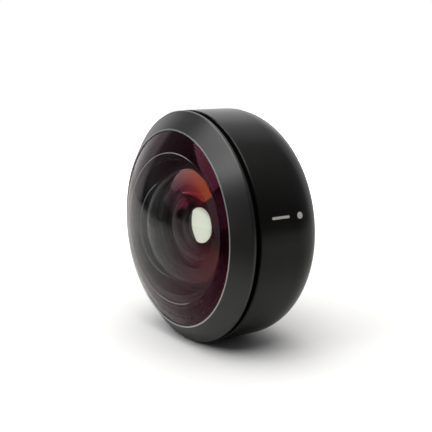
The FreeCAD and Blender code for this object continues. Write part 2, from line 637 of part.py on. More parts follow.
mount = newBody("bayonet_mount")
turned(mount, "MountTurning", [
    at("plateInner", "Stations.spigotBore", "Stations.plateFace"),
    at("plateOuter", "Stations.plateRadius", "Stations.plateFace"),
    at("seatOuter", "Stations.plateRadius", "Sizes.bodyDepth"),
    at("spigotRoot", "Stations.spigotRadius", "Sizes.bodyDepth"),
    at("spigotSide", "Stations.spigotRadius", "Stations.spigotEnd - Sizes.spigotChamfer"),
    at("spigotRim", "Stations.spigotRadius - Sizes.spigotChamfer", "Stations.spigotEnd"),
    at("spigotInner", "Stations.spigotBore", "Stations.spigotEnd"),
])

lugSketch = attachedSketch(mount, "LugOutline", "XY_Plane")
drawOutline(lugSketch, [
    at("rootFront", "(Stations.spigotBore + Stations.spigotRadius) / 2", "Stations.lugFront"),
    at("faceEdge", "Stations.lugRadius - Sizes.lugChamfer", "Stations.lugFront"),
    at("rimFront", "Stations.lugRadius", "Stations.lugFront + Sizes.lugChamfer"),
    at("rimRear", "Stations.lugRadius", "Stations.lugRear - Sizes.lugChamfer"),
    at("backEdge", "Stations.lugRadius - Sizes.lugChamfer", "Stations.lugRear"),
    at("rootRear", "(Stations.spigotBore + Stations.spigotRadius) / 2", "Stations.lugRear"),
])
doc.recompute()
lug = mount.newObject("PartDesign::Revolution", "Lug")
lug.Profile = lugSketch
lug.ReferenceAxis = (lugSketch, ["V_Axis"])
lug.Midplane = True
lug.setExpression("Angle", "Sizes.lugAngle")
lugSketch.Visibility = False
doc.recompute()

notchSketch = attachedSketch(mount, "NotchOutline", "YZ_Plane")
notchSketch.setExpression("AttachmentOffset.Base.z", "Stations.spigotRadius + Sizes.detentInset")
notchCentre = FreeCAD.Vector(valueOf("Stations.lugFront"), 0, 0)
notchCircle = Part.Circle(notchCentre, FreeCAD.Vector(0, 0, 1), valueOf("Sizes.detentRadius"))
notchSketch.addGeometry(notchCircle, False)
notchSketch.addConstraint(Sketcher.Constraint("PointOnObject", 0, 3, -1))
bind(notchSketch, Sketcher.Constraint("DistanceX", -1, 1, 0, 3, notchCentre.x), "notchDepth",
     "Stations.lugFront")
bind(notchSketch, Sketcher.Constraint("Radius", 0, notchCircle.Radius), "notchRadius",
     "Sizes.detentRadius")
doc.recompute()
notch = pocket(mount, "Notch", notchSketch, "2 * Sizes.lugReach", True)
lugs = aroundAxis(mount, "Lugs", [lug, notch], "lugCount")


# The straight edges at both ends of each lug's front face.
def isLugEnd(edge):
    if not isinstance(edge.Curve, Part.Line):
        return False
    ends = [vertex.Point for vertex in edge.Vertexes]
    onFace = all(abs(end.y - valueOf("Stations.lugFront")) < 1e-6 for end in ends)
    angles = [math.degrees(math.atan2(abs(end.z), abs(end.x))) for end in ends]
    return onFace and all(abs(angle - valueOf("Sizes.lugAngle") / 2) < 1e-3 for angle in angles)


leadIns = mount.newObject("PartDesign::Chamfer", "LeadIns")
leadIns.Base = (lugs, edgeNames(lugs, isLugEnd))
leadIns.setExpression("Size", "Sizes.leadIn")
doc.recompute()

plateHoleSketch = screwCircleSketch(mount, "PlateHoleOutline", "Sizes.bodyDepth", "Stations.screwHole")
plateHole = mount.newObject("PartDesign::Hole", "PlateHole")
plateHole.Profile = plateHoleSketch
plateHole.Reversed = True
plateHole.DepthType = "ThroughAll"
plateHole.ThreadType = "None"
plateHole.HoleCutType = "Countersink"
plateHole.HoleCutCustomValues = True
plateHole.HoleCutCountersinkAngle = 90
plateHole.setExpression("Diameter", "2 * Stations.screwHole")
plateHole.setExpression("HoleCutDiameter", "2 * Stations.screwSink")
plateHoleSketch.Visibility = False
doc.recompute()
aroundAxis(mount, "PlateHoles", [plateHole], "screwCount")

# Mount screws: a countersunk head with a hexagon socket, on a plain shank

screws = []
screwTotal = int(valueOf("Sizes.screwCount"))
for number in range(screwTotal):
    head = doc.addObject("Part::Cone", f"ScrewHead{number}")
    head.setExpression("Radius1", "Sizes.screwHeadRadius")
    head.setExpression("Radius2", "Sizes.screwRadius")
    head.setExpression("Height", "Stations.screwHeadDepth")
    shank = doc.addObject("Part::Cylinder", f"ScrewShank{number}")
    shank.setExpression("Radius", "Sizes.screwRadius")
    shank.setExpression("Height", "Sizes.screwLength - Stations.screwHeadDepth")
    shank.setExpression("Placement.Base.z", "Stations.screwHeadDepth")
    socket = doc.addObject("Part::Prism", f"ScrewSocket{number}")
    socket.Polygon = 6
    socket.setExpression("Circumradius", "Sizes.socketRadius")
    socket.setExpression("Height", "Sizes.socketDepth")
    blank = doc.addObject("Part::Fuse", f"ScrewBlank{number}")
    blank.Base = head
    blank.Tool = shank
    screw = doc.addObject("Part::Cut", f"Screw{number}")
    screw.Base = blank
    screw.Tool = socket
    upright = FreeCAD.Rotation(FreeCAD.Vector(1, 0, 0), 90)
    screw.Placement = FreeCAD.Placement(FreeCAD.Vector(), upright)
    angle = f"(Sizes.screwAngle + {number} * 360 / Sizes.screwCount)"
    screw.setExpression("Placement.Base.x", f"Stations.screwCircle * cos({angle})")
    screw.setExpression("Placement.Base.y", "-Sizes.screwInset")
    screw.setExpression("Placement.Base.z", f"Stations.screwCircle * sin({angle})")
    screws.append(screw)

mountScrews = doc.addObject("Part::Compound", "MountScrews")
mountScrews.Label = "mount_screws"
mountScrews.Links = screws

# Every object is checked before anything is written

doc.recompute()
for item in doc.Objects:
    if "Invalid" in item.State or "Error" in item.State:
        raise RuntimeError(f"{item.Label} failed: {item.State}")

subParts = [bezel, frontSeal, dome, domeSpacer, barrel, cell, dustSeal, second, secondRetainer, stopRing,
            pairFirst, pairSecond, pairSpacer, last, rearRetainer, mount, mountScrews]
for piece in subParts:
    if piece.Shape.isNull() or not piece.Shape.isValid():
        raise RuntimeError(f"{piece.Label} has no valid shape")

os.makedirs("parts", exist_ok=True)
for piece in subParts:
    piece.Shape.exportStep(f"parts/{piece.Label}.step")
    box = piece.Shape.optimalBoundingBox()
    print(f"{piece.Label}: {len(piece.Shape.Solids)} solid, {piece.Shape.Volume:.1f} mm3,"
          f" y {box.YMin:.2f} to {box.YMax:.2f}, radius {box.XMax:.2f}")
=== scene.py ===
import math

import bmesh
import bpy
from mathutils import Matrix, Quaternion, Vector


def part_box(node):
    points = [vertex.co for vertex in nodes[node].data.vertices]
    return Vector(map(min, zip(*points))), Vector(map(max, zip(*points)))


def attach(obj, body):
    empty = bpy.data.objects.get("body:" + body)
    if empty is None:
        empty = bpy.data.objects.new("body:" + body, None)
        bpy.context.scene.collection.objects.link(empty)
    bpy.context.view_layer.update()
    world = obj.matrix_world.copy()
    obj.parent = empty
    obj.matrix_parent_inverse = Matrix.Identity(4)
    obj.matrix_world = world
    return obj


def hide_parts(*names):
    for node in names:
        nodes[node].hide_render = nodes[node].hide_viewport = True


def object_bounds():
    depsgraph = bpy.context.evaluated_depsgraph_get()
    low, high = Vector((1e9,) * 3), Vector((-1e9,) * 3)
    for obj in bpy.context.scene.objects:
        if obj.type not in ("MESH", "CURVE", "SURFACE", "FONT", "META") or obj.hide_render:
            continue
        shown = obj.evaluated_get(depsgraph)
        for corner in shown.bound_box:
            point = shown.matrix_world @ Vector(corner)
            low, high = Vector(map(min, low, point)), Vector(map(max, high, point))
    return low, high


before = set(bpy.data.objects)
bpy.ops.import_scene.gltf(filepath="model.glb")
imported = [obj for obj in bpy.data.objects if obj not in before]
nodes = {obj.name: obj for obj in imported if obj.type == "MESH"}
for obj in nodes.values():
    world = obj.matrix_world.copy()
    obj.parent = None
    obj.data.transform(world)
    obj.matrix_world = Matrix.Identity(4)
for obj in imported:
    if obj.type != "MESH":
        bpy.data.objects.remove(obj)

cadBox = [list(corner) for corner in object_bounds()]
mm = 0.001
perMetre = 1000
onePoint = 1e-6  # mm: points closer than this are the same one
smoothBelow = 32  # degrees: flatter edges than this are shaded smooth
print("frame loaded:", len(nodes), "nodes")


def node(tree, kind, **values):
    made = tree.nodes.new(kind)
    for name, value in values.items():
        setattr(made, name, value)
    return made


def wire(tree, *pairs):  # each pair is an output and an input
    for start, end in pairs:
        tree.links.new(start, end)


def calc(tree, operation, *values):  # a number is set on its input, an output is wired to it
    made = node(tree, "ShaderNodeMath", operation=operation)
    for socket, value in zip(made.inputs, values):
        if isinstance(value, (int, float)):
            socket.default_value = value
        else:
            tree.links.new(value, socket)
    return made.outputs[0]


def hypot(tree, one, other):  # how far off a point is, from its two distances at right angles
    squares = [calc(tree, "MULTIPLY", part, part) for part in (one, other)]
    return calc(tree, "SQRT", calc(tree, "ADD", *squares))


def spread(tree, value, low, high, newLow=0.0, newHigh=1.0):  # one range mapped smoothly onto another
    made = node(tree, "ShaderNodeMapRange", interpolation_type="SMOOTHSTEP")
    tree.links.new(value, made.inputs["Value"])
    for name, number in (("From Min", low), ("From Max", high), ("To Min", newLow), ("To Max", newHigh)):
        made.inputs[name].default_value = number
    return made.outputs["Result"]


def tint(tree, mask, first, second):  # first colour where the mask is 0, second where it is 1
    made = node(tree, "ShaderNodeMix", data_type="RGBA")
    tree.links.new(mask, made.inputs["Factor"])
    for socket, value in ((made.inputs["A"], first), (made.inputs["B"], second)):
        if isinstance(value, tuple):
            socket.default_value = (*value, 1)
        else:
            tree.links.new(value, socket)
    return made.outputs["Result"]


def objectPoint(tree):  # where the shaded point is, in metres
    return node(tree, "ShaderNodeTexCoord").outputs["Object"]


def axesOf(tree):  # the same point as outputs X, Y and Z
    split = node(tree, "ShaderNodeSeparateXYZ")
    wire(tree, (objectPoint(tree), split.inputs[0]))
    return split.outputs


def pointing(turn, rise):  # a direction: turn from the front towards +X, rise above the floor, in degrees
    turn = math.radians(turn)
    rise = math.radians(rise)
    return Vector((math.sin(turn) * math.cos(rise), -math.cos(turn) * math.cos(rise), math.sin(rise)))


def distanceAlong(tree, point, towards):  # towards is a turn and a rise
    dot = node(tree, "ShaderNodeVectorMath", operation="DOT_PRODUCT")
    wire(tree, (point, dot.inputs[0]))
    dot.inputs[1].default_value = pointing(*towards)
    return dot.outputs["Value"]


def newGroup(name, inputs, outputs):
    tree = bpy.data.node_groups.new(name, "ShaderNodeTree")
    for label, value in inputs:
        socket = tree.interface.new_socket(name=label, in_out="INPUT", socket_type="NodeSocketFloat")
        socket.default_value = value
    for label in outputs:
        tree.interface.new_socket(name=label, in_out="OUTPUT", socket_type="NodeSocketFloat")
    return tree, tree.nodes.new("NodeGroupInput"), tree.nodes.new("NodeGroupOutput")


def place(tree, group, **values):
    made = tree.nodes.new("ShaderNodeGroup")
    made.node_tree = group
    for label, value in values.items():
        made.inputs[label].default_value = value
    return made


# blasted and anodised metal: fine pits, and a slow drift of tone
grainMix = {"pitDetail": 3, "pitRoughness": 0.6, "slowDetail": 2, "pitShare": 0.35, "slowShare": 0.65}
fineGrain, given, out = newGroup("fineGrain", (("Size", 0.1), ("Drift", 6.0)), ("Height", "Tone"))
spot = objectPoint(fineGrain)
pits = node(fineGrain, "ShaderNodeTexNoise")
pits.inputs["Detail"].default_value = grainMix["pitDetail"]
pits.inputs["Roughness"].default_value = grainMix["pitRoughness"]
slow = node(fineGrain, "ShaderNodeTexNoise")
slow.inputs["Detail"].default_value = grainMix["slowDetail"]
slowTone = calc(fineGrain, "MULTIPLY", slow.outputs["Fac"], grainMix["slowShare"])
wire(fineGrain, (spot, pits.inputs["Vector"]), (spot, slow.inputs["Vector"]),
     (calc(fineGrain, "DIVIDE", perMetre, given.outputs["Size"]), pits.inputs["Scale"]),
     (calc(fineGrain, "DIVIDE", perMetre, given.outputs["Drift"]), slow.inputs["Scale"]),
     (pits.outputs["Fac"], out.inputs["Height"]),
     (calc(fineGrain, "MULTIPLY_ADD", pits.outputs["Fac"], grainMix["pitShare"], slowTone),
      out.inputs["Tone"]))

# the lathe's marks: fine rings round the lens, uneven from one to the next, on round walls and on faces
ringMix = {"faceShare": 0.83, "scale": 1, "detail": 2}
turningMarks, given, out = newGroup("turningMarks", (("Pitch", 0.06),), ("Height",))
axes = axesOf(turningMarks)
feed = calc(turningMarks, "MULTIPLY_ADD", hypot(turningMarks, axes["X"], axes["Z"]), ringMix["faceShare"],
            axes["Y"])
feed = calc(turningMarks, "DIVIDE", calc(turningMarks, "MULTIPLY", feed, perMetre), given.outputs["Pitch"])
rings = node(turningMarks, "ShaderNodeTexNoise", noise_dimensions="1D")
rings.inputs["Scale"].default_value = ringMix["scale"]
rings.inputs["Detail"].default_value = ringMix["detail"]
wire(turningMarks, (feed, rings.inputs["W"]), (rings.outputs["Fac"], out.inputs["Height"]))

# worn edges: where the rounded normal leaves the true one, broken up by noise
wearMix = {"samples": 6, "lean": (0.99, 0.90), "scale": 900, "detail": 4, "patches": (0.35, 0.65)}
edgeWear, given, out = newGroup("edgeWear", (("Width", 0.12), ("Amount", 0.5)), ("Mask",))
rounded = node(edgeWear, "ShaderNodeBevel", samples=wearMix["samples"])
wire(edgeWear, (calc(edgeWear, "MULTIPLY", given.outputs["Width"], mm), rounded.inputs["Radius"]))
lean = node(edgeWear, "ShaderNodeVectorMath", operation="DOT_PRODUCT")
wire(edgeWear, (rounded.outputs[0], lean.inputs[0]),
     (node(edgeWear, "ShaderNodeNewGeometry").outputs["Normal"], lean.inputs[1]))
broken = node(edgeWear, "ShaderNodeTexNoise")
broken.inputs["Scale"].default_value = wearMix["scale"]
broken.inputs["Detail"].default_value = wearMix["detail"]
patches = calc(edgeWear, "MULTIPLY", spread(edgeWear, broken.outputs["Fac"], *wearMix["patches"]),
               given.outputs["Amount"])
wire(edgeWear, (objectPoint(edgeWear), broken.inputs["Vector"]),
     (calc(edgeWear, "MULTIPLY", spread(edgeWear, lean.outputs["Value"], *wearMix["lean"]), patches),
      out.inputs["Mask"]))

# a few specks of dust, most of them much smaller than the largest
speckMix = {"fallOff": 3}
dustSpecks, given, out = newGroup("dustSpecks", (("Cell", 1.2), ("Speck", 0.05)), ("Mask",))
cells = node(dustSpecks, "ShaderNodeTexVoronoi")
wire(dustSpecks, (objectPoint(dustSpecks), cells.inputs["Vector"]),
     (calc(dustSpecks, "DIVIDE", perMetre, given.outputs["Cell"]), cells.inputs["Scale"]))
largest = calc(dustSpecks, "DIVIDE", given.outputs["Speck"], given.outputs["Cell"])
speck = calc(dustSpecks, "MULTIPLY", largest,
             calc(dustSpecks, "POWER", cells.outputs["Color"], speckMix["fallOff"]))
wire(dustSpecks, (calc(dustSpecks, "LESS_THAN", cells.outputs["Distance"], speck), out.inputs["Mask"]))
print("shared effects built")


def newFinish(name):
    material = bpy.data.materials.new(name)
    material.use_nodes = True
    tree = material.node_tree
    tree.nodes.clear()
    shader = tree.nodes.new("ShaderNodeBsdfPrincipled")
    wire(tree, (shader.outputs[0], tree.nodes.new("ShaderNodeOutputMaterial").inputs["Surface"]))
    return material, tree, shader


# what a finish has where its own look doesn't say; sizes in mm
plainMetal = {"drift": 7.0, "pitch": 0.06, "marks": 0.3, "wear": 0.0, "wearWidth": 0.1, "dustCell": 1.4,
              "dustTone": (0.22, 0.21, 0.2), "metal": 0.0, "shine": 0.5,
              "toneReach": (0.3, 0.7), "roughReach": (0.25, 0.75)}
plainGlass = {"dustCell": 2.4, "dustTone": (0.7, 0.7, 0.7), "shine": 0.5, "strength": 1.0,
              "letThrough": (0.94, 0.94, 0.94)}


# metal, rubber or ground glass with grain, turning marks, worn edges and dust
def metalFinish(name, look):
    look = {**plainMetal, **look}
    material, tree, shader = newFinish(name)
    grain = place(tree, fineGrain, Size=look["grain"], Drift=look["drift"])
    marks = place(tree, turningMarks, Pitch=look["pitch"])
    wear = place(tree, edgeWear, Width=look["wearWidth"], Amount=look["wear"])
    dust = place(tree, dustSpecks, Cell=look["dustCell"], Speck=look["dust"])
    paint = tint(tree, spread(tree, grain.outputs["Tone"], *look["toneReach"]), look["dark"], look["light"])
    paint = tint(tree, wear.outputs["Mask"], paint, look.get("worn", look["light"]))
    paint = tint(tree, dust.outputs["Mask"], paint, look["dustTone"])
    rough = spread(tree, grain.outputs["Tone"], *look["roughReach"], look["smooth"], look["rough"])
    height = calc(tree, "MULTIPLY_ADD", marks.outputs["Height"], look["marks"], grain.outputs["Height"])
    bump = node(tree, "ShaderNodeBump")
    bump.inputs["Distance"].default_value = look["depth"] * mm
    bump.inputs["Strength"].default_value = 1.0
    wire(tree, (paint, shader.inputs["Base Color"]), (rough, shader.inputs["Roughness"]),
         (height, bump.inputs["Height"]), (bump.outputs[0], shader.inputs["Normal"]))
    shader.inputs["Metallic"].default_value = look["metal"]
    shader.inputs["Specular IOR Level"].default_value = look["shine"]
    return material, tree, shader, paint


# a coating that changes its colour from the middle of a glass to its steep edge, by radius in mm
def coatByRadius(tree, bands):
    axes = axesOf(tree)
    outermost = max(radius for radius, colour in bands)
    ramp = node(tree, "ShaderNodeValToRGB")
    wire(tree, (calc(tree, "DIVIDE", hypot(tree, axes["X"], axes["Z"]), outermost * mm), ramp.inputs[0]))
    stops = ramp.color_ramp.elements
    while len(stops) < len(bands):
        stops.new(1.0)
    for stop, (radius, colour) in zip(stops, bands):
        stop.position = radius / outermost
        stop.color = (*colour, 1)
    return ramp.outputs["Color"]


# polished glass with a coating, whose tint only reflections show
def glassFinish(name, look):
    look = {**plainGlass, **look}
    material, tree, shader = newFinish(name)
    dust = place(tree, dustSpecks, Cell=look["dustCell"], Speck=look["dust"]).outputs["Mask"]
    wire(tree, (tint(tree, dust, look["body"], look["dustTone"]), shader.inputs["Base Color"]),
         (dust, shader.inputs["Roughness"]))
    shader.inputs["IOR"].default_value = look["index"]
    shader.inputs["Transmission Weight"].default_value = 1.0
    shader.inputs["Metallic"].default_value = 0.0
    shader.inputs["Specular IOR Level"].default_value = look["shine"]
    if isinstance(look["coat"], tuple):
        shader.inputs["Specular Tint"].default_value = (*look["coat"], 1)
    else:
        strong = node(tree, "ShaderNodeVectorMath", operation="SCALE")
        strong.inputs["Scale"].default_value = look["strength"]
        wire(tree, (coatByRadius(tree, look["coat"]), strong.inputs[0]),
             (strong.outputs[0], shader.inputs["Specular Tint"]))
    path = node(tree, "ShaderNodeLightPath")  # lamps and soft light reach what lies behind
    clear = node(tree, "ShaderNodeBsdfTransparent")
    pick = node(tree, "ShaderNodeMixShader")
    output = next(item for item in tree.nodes if item.type == "OUTPUT_MATERIAL")
    passing = calc(tree, "MAXIMUM", path.outputs["Is Shadow Ray"], path.outputs["Is Diffuse Ray"])
    wire(tree, (passing, pick.inputs[0]), (shader.outputs[0], pick.inputs[1]),
         (clear.outputs[0], pick.inputs[2]), (pick.outputs[0], output.inputs["Surface"]))
    clear.inputs["Color"].default_value = (*look["letThrough"], 1)
    return material


# a run from the axis out to an edge; bulge is 1 where the middle stands towards the front
def sphereRun(size, vertex, edge, bulge, steps):
    turnTo = math.asin(edge / size)
    run = []
    for step in range(steps + 1):
        angle = turnTo * step / steps
        run.append((size * math.sin(angle), vertex + bulge * (size - size * math.cos(angle))))
    return run


# corners with their edges broken: each corner is a radius, a y and the rounding's size
def roundedRun(corners, steps):
    run = []
    for index, (radius, y, size) in enumerate(corners):
        here = Vector((radius, y))
        if not size or index in (0, len(corners) - 1):
            run.append((radius, y))
            continue
        before = (Vector(corners[index - 1][:2]) - here)
        after = (Vector(corners[index + 1][:2]) - here)
        half = before.angle(after) / 2
        back = size / math.tan(half)
        start = here + before.normalized() * back
        end = here + after.normalized() * back
        centre = here + (before.normalized() + after.normalized()).normalized() * size / math.sin(half)
        first = start - centre
        sweep = first.angle_signed(end - centre)
        for step in range(steps + 1):
            angle = -sweep * step / steps
            run.append((centre.x + first.x * math.cos(angle) - first.y * math.sin(angle),
                        centre.y + first.x * math.sin(angle) + first.y * math.cos(angle)))
    return run


# runs of (radius, y) in mm, each with its finish, turned about the axis into one closed skin
def turnPiece(name, runs, finishes, around):
    outline = []
    slots = []
    for points, slot in runs:
        for index, point in enumerate(points):
            if outline and index == 0 and math.dist(outline[-1], point) < onePoint:
                continue
            if outline:
                slots.append(slot)
            outline.append(point)
    if math.dist(outline[0], outline[-1]) < onePoint:
        outline.pop()
    elif outline[0][0] > onePoint or outline[-1][0] > onePoint:
        slots.append(runs[-1][1])
    mesh = bpy.data.meshes.new(name)
    work = bmesh.new()
    ringsMade = []
    for radius, y in outline:
        if radius < onePoint:
            ringsMade.append([work.verts.new((0, y * mm, 0))])
            continue
        ring = []
        size = radius * mm
        for step in range(around):
            angle = 2 * math.pi * step / around
            ring.append(work.verts.new((size * math.cos(angle), y * mm, size * math.sin(angle))))
        ringsMade.append(ring)
    closed = outline[0][0] > onePoint or outline[-1][0] > onePoint
    count = len(outline) if closed else len(outline) - 1
    for index in range(count):
        one = ringsMade[index]
        two = ringsMade[(index + 1) % len(ringsMade)]
        for step in range(around):
            following = (step + 1) % around
            if len(one) == 1:
                face = work.faces.new((one[0], two[step], two[following]))
            elif len(two) == 1:
                face = work.faces.new((one[step], two[0], one[following]))
            else:
                face = work.faces.new((one[step], two[step], two[following], one[following]))
            face.material_index = slots[index]
            face.smooth = True
    bmesh.ops.recalc_face_normals(work, faces=work.faces)
    work.to_mesh(mesh)
    work.free()
    for finish in finishes:
        mesh.materials.append(finish)
    mesh.set_sharp_from_angle(angle=math.radians(smoothBelow))
    piece = bpy.data.objects.new(name, mesh)
    bpy.context.scene.collection.objects.link(piece)
    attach(piece, "root")
    return piece


# a CAD node that keeps its own shape and gets a finish
def dress(name, finish):
    mesh = nodes[name].data
    mesh.materials.clear()
    mesh.materials.append(finish)


bezel = {
    "rim": 16.7, "rimRound": 0.12, "land": 16.95, "landRound": 0.22, "cone": 19.95, "coneLength": 2.4,
    "edge": 0.5, "edgeRound": 0.35, "lip": 0.6, "skirtBore": 17.5, "skirt": 18.5, "neck": 18.9,
    "groove": 0.95, "breakEdge": 0.06, "rimSteps": 5, "edgeSteps": 8, "around": 256,
}
bezelLook = {
    "dark": (0.0036, 0.0040, 0.0038), "light": (0.0060, 0.0066, 0.0062), "worn": (0.10, 0.10, 0.098),
    "smooth": 0.29, "rough": 0.36, "grain": 0.11, "drift": 8.0, "pitch": 0.07, "marks": 0.35,
    "depth": 0.0035, "wear": 0.22, "wearWidth": 0.07, "dust": 0.035, "dustCell": 1.9, "shine": 0.85,
}
edgeLook = {"dark": (0.50, 0.50, 0.49), "light": (0.66, 0.66, 0.65), "smooth": 0.28, "rough": 0.36,
            "grain": 0.05, "metal": 1.0, "depth": 0.001, "dust": 0.0}
grooveLook = {"dark": (0.004, 0.004, 0.004), "light": (0.006, 0.006, 0.006), "smooth": 0.6, "rough": 0.75,
              "grain": 0.08, "shine": 0.2, "depth": 0.003, "dust": 0.03}
bezelFinish = metalFinish("bezelAnodised", bezelLook)[0]
edgeFinish = metalFinish("bezelCutEdge", edgeLook)[0]
grooveFinish = metalFinish("grooveAnodised", grooveLook)[0]

low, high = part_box("front_bezel_ring")
front = low.y / mm
coneEnd = front + bezel["coneLength"]
wall = coneEnd + bezel["edge"]
neckEnd = wall + bezel["groove"]
skirtEnd = high.y / mm
brightEdge = roundedRun([
    (bezel["rim"], front + bezel["lip"], 0),
    (bezel["rim"], front, bezel["rimRound"]),
    (bezel["land"], front, bezel["landRound"]),
    (bezel["cone"], coneEnd, 0),
], bezel["rimSteps"])[1:-1]
bezelOuter = roundedRun([
    (*brightEdge[-1], 0),
    (bezel["cone"], coneEnd, bezel["edgeRound"]),
    (bezel["cone"], wall, bezel["breakEdge"]),
    (bezel["neck"], wall, 0),
], bezel["edgeSteps"])
bezelPiece = turnPiece("frontBezel", [
    (brightEdge, 1),
    (bezelOuter, 0),
    ([bezelOuter[-1], (bezel["neck"], neckEnd), (bezel["skirt"], neckEnd), (bezel["skirt"], skirtEnd),
      (bezel["skirtBore"], skirtEnd), (bezel["skirtBore"], front + bezel["lip"]),
      (bezel["rim"], front + bezel["lip"]), brightEdge[0]], 2),
], [bezelFinish, edgeFinish, grooveFinish], bezel["around"])
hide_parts("front_bezel_ring")
print("bezel turned")


# the dome's paintedShadeReach is painted shade: it darkens the ground mouth edge on its +X side
dome = {
    "cap": 16.6, "frontSphere": 31.0, "middle": 1.2, "hollowSphere": 14.8, "step": 17.4, "land": -17.2,
    "mouthChamfer": 0.10, "mouthInside": 0.03, "outerRing": (14.65, 14.2), "innerRing": (12.64, 12.54),
    "mouthAbout": 11.8, "paintedShadeReach": (0.25, 0.4), "frontSteps": 56, "hollowSteps": 64, "around": 256,
}
domeFrontLook = {
    "body": (0.985, 0.985, 0.98), "index": 1.52, "dust": 0.03, "dustCell": 2.2,
    "coat": [(0.0, (0.80, 0.86, 0.84)), (5.5, (0.85, 0.84, 0.84)), (9.5, (1.0, 0.50, 0.64)),
             (12.0, (1.0, 0.22, 0.44)), (16.6, (1.0, 0.15, 0.38))],
}
domeRearLook = {
    "body": (0.985, 0.985, 0.98), "index": 1.52, "shine": 0.65, "dust": 0.0, "strength": 2.4,
    "coat": [(0.0, (0.05, 0.01, 0.02)), (6.4, (0.06, 0.01, 0.02)), (7.6, (0.12, 0.005, 0.035)),
             (9.0, (0.24, 0.006, 0.05)), (10.0, (0.42, 0.02, 0.05)), (10.8, (0.70, 0.06, 0.04)),
             (11.3, (0.85, 0.11, 0.02)), (12.0, (1.0, 0.15, 0.0))],
}
groundLook = {"dark": (0.018, 0.016, 0.014), "light": (0.026, 0.024, 0.020), "smooth": 0.55, "rough": 0.75,
              "grain": 0.06, "shine": 0.3, "depth": 0.003, "dust": 0.0, "marks": 0.1}
frostLook = {"dark": (0.46, 0.47, 0.47), "light": (0.66, 0.67, 0.67), "smooth": 0.3, "rough": 0.45,
             "grain": 0.05, "depth": 0.002, "dust": 0.0}
ringLook = {**frostLook, "dark": (0.70, 0.71, 0.71), "light": (0.86, 0.87, 0.87)}
domeFront = glassFinish("frontGlassOuter", domeFrontLook)
domeRear = glassFinish("frontGlassInner", domeRearLook)
groundFinish = metalFinish("glassGroundBlack", groundLook)[0]
ringFinish = metalFinish("glassGroundRings", ringLook)[0]
frostFinish, tree, shader, paint = metalFinish("glassGroundEdge", frostLook)
# painted shade: the ground edge is painted with the rim's black on the +X side, so that half looks unlit
mouthPart = calc(tree, "DIVIDE", axesOf(tree)["X"], dome["mouthAbout"] * mm)
paint = tint(tree, spread(tree, mouthPart, *dome["paintedShadeReach"]), paint, groundLook["dark"])
wire(tree, (paint, shader.inputs["Base Color"]))

low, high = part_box("front_dome_element")
vertex = low.y / mm
seat = high.y / mm
outer = sphereRun(dome["frontSphere"], vertex, dome["cap"], 1, dome["frontSteps"])
hollowVertex = vertex + dome["middle"]
hollowCentre = hollowVertex + dome["hollowSphere"]
mouth = math.sqrt(dome["hollowSphere"] ** 2 - (hollowCentre - seat) ** 2)
inner = sphereRun(dome["hollowSphere"], hollowVertex, mouth - dome["mouthInside"], 1, dome["hollowSteps"])
mouthEdge = (mouth + dome["mouthChamfer"], seat)
outerRing = [(radius, seat) for radius in dome["outerRing"]]
innerRing = [(radius, seat) for radius in dome["innerRing"]]
domePiece = turnPiece("frontGlass", [
    (outer, 0),
    ([outer[-1], (dome["cap"], dome["land"]), (dome["step"], dome["land"]), (dome["step"], seat),
      outerRing[0]], 2),
    (outerRing, 4),
    ([outerRing[1], innerRing[0]], 2),
    (innerRing, 4),
    ([innerRing[1], mouthEdge], 2),
    ([mouthEdge, inner[-1]], 3),
    (inner[::-1], 1),
], [domeFront, domeRear, groundFinish, frostFinish, ringFinish], dome["around"])
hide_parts("front_dome_element")
print("front glass ground")


second = {"vertex": -13.4, "frontSphere": 30.0, "hollowSphere": 9.0, "middle": 1.25, "clear": 8.2,
          "edge": 9.3, "bevel": 0.07, "frontSteps": 40, "hollowSteps": 48, "around": 224}
secondLook = {"body": (0.98, 0.985, 0.975), "index": 1.6, "coat": (0.20, 0.03, 0.06), "dust": 0.0}
secondRearLook = {**secondLook, "coat": (0.12, 0.03, 0.05)}
secondFront = glassFinish("secondGlassFront", secondLook)
secondRear = glassFinish("secondGlassRear", secondRearLook)

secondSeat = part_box("second_element")[1].y / mm
face = sphereRun(second["frontSphere"], second["vertex"], second["clear"], 1, second["frontSteps"])
shoulder = face[-1][1]
hollowVertex = second["vertex"] + second["middle"]
hollowCentre = hollowVertex + second["hollowSphere"]
mouth = math.sqrt(second["hollowSphere"] ** 2 - (hollowCentre - secondSeat) ** 2)
hollow = sphereRun(second["hollowSphere"], hollowVertex, mouth, 1, second["hollowSteps"])
secondPiece = turnPiece("secondGlass", [
    (face, 0),
    ([face[-1], (second["edge"] - second["bevel"], shoulder), (second["edge"], shoulder + second["bevel"]),
      (second["edge"], secondSeat), (mouth, secondSeat)], 2),
    (hollow[::-1], 1),
], [secondFront, secondRear, groundFinish], second["around"])
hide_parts("second_element")

pair = {"seat": -7.3, "front": 300.0, "middle": 32.0, "rear": 9.0, "first": 0.9, "secondThick": 4.0,
        "clear": 5.8, "edge": 6.4, "cement": 0.006, "frontSteps": 20, "steps": 24, "around": 160}
pairLook = {"body": (0.985, 0.985, 0.97), "index": 1.8, "coat": (0.10, 0.05, 0.03), "dust": 0.0}
cementLook = {"body": (1.0, 1.0, 1.0), "index": 1.8, "coat": (0.02, 0.02, 0.02), "dust": 0.0}
pairFinish = glassFinish("pairGlass", pairLook)
cementFinish = glassFinish("pairCement", cementLook)
bowl = pair["seat"] + pair["front"] - math.sqrt(pair["front"] ** 2 - pair["clear"] ** 2)
joint = bowl + pair["first"]
tail = joint + pair["secondThick"]
bowlRun = sphereRun(pair["front"], bowl, pair["clear"], -1, pair["frontSteps"])
joinFront = sphereRun(pair["middle"], joint - pair["cement"] / 2, pair["edge"], 1, pair["steps"])
joinRear = sphereRun(pair["middle"], joint + pair["cement"] / 2, pair["edge"], 1, pair["steps"])
tailRun = sphereRun(pair["rear"], tail, pair["clear"], -1, pair["steps"])
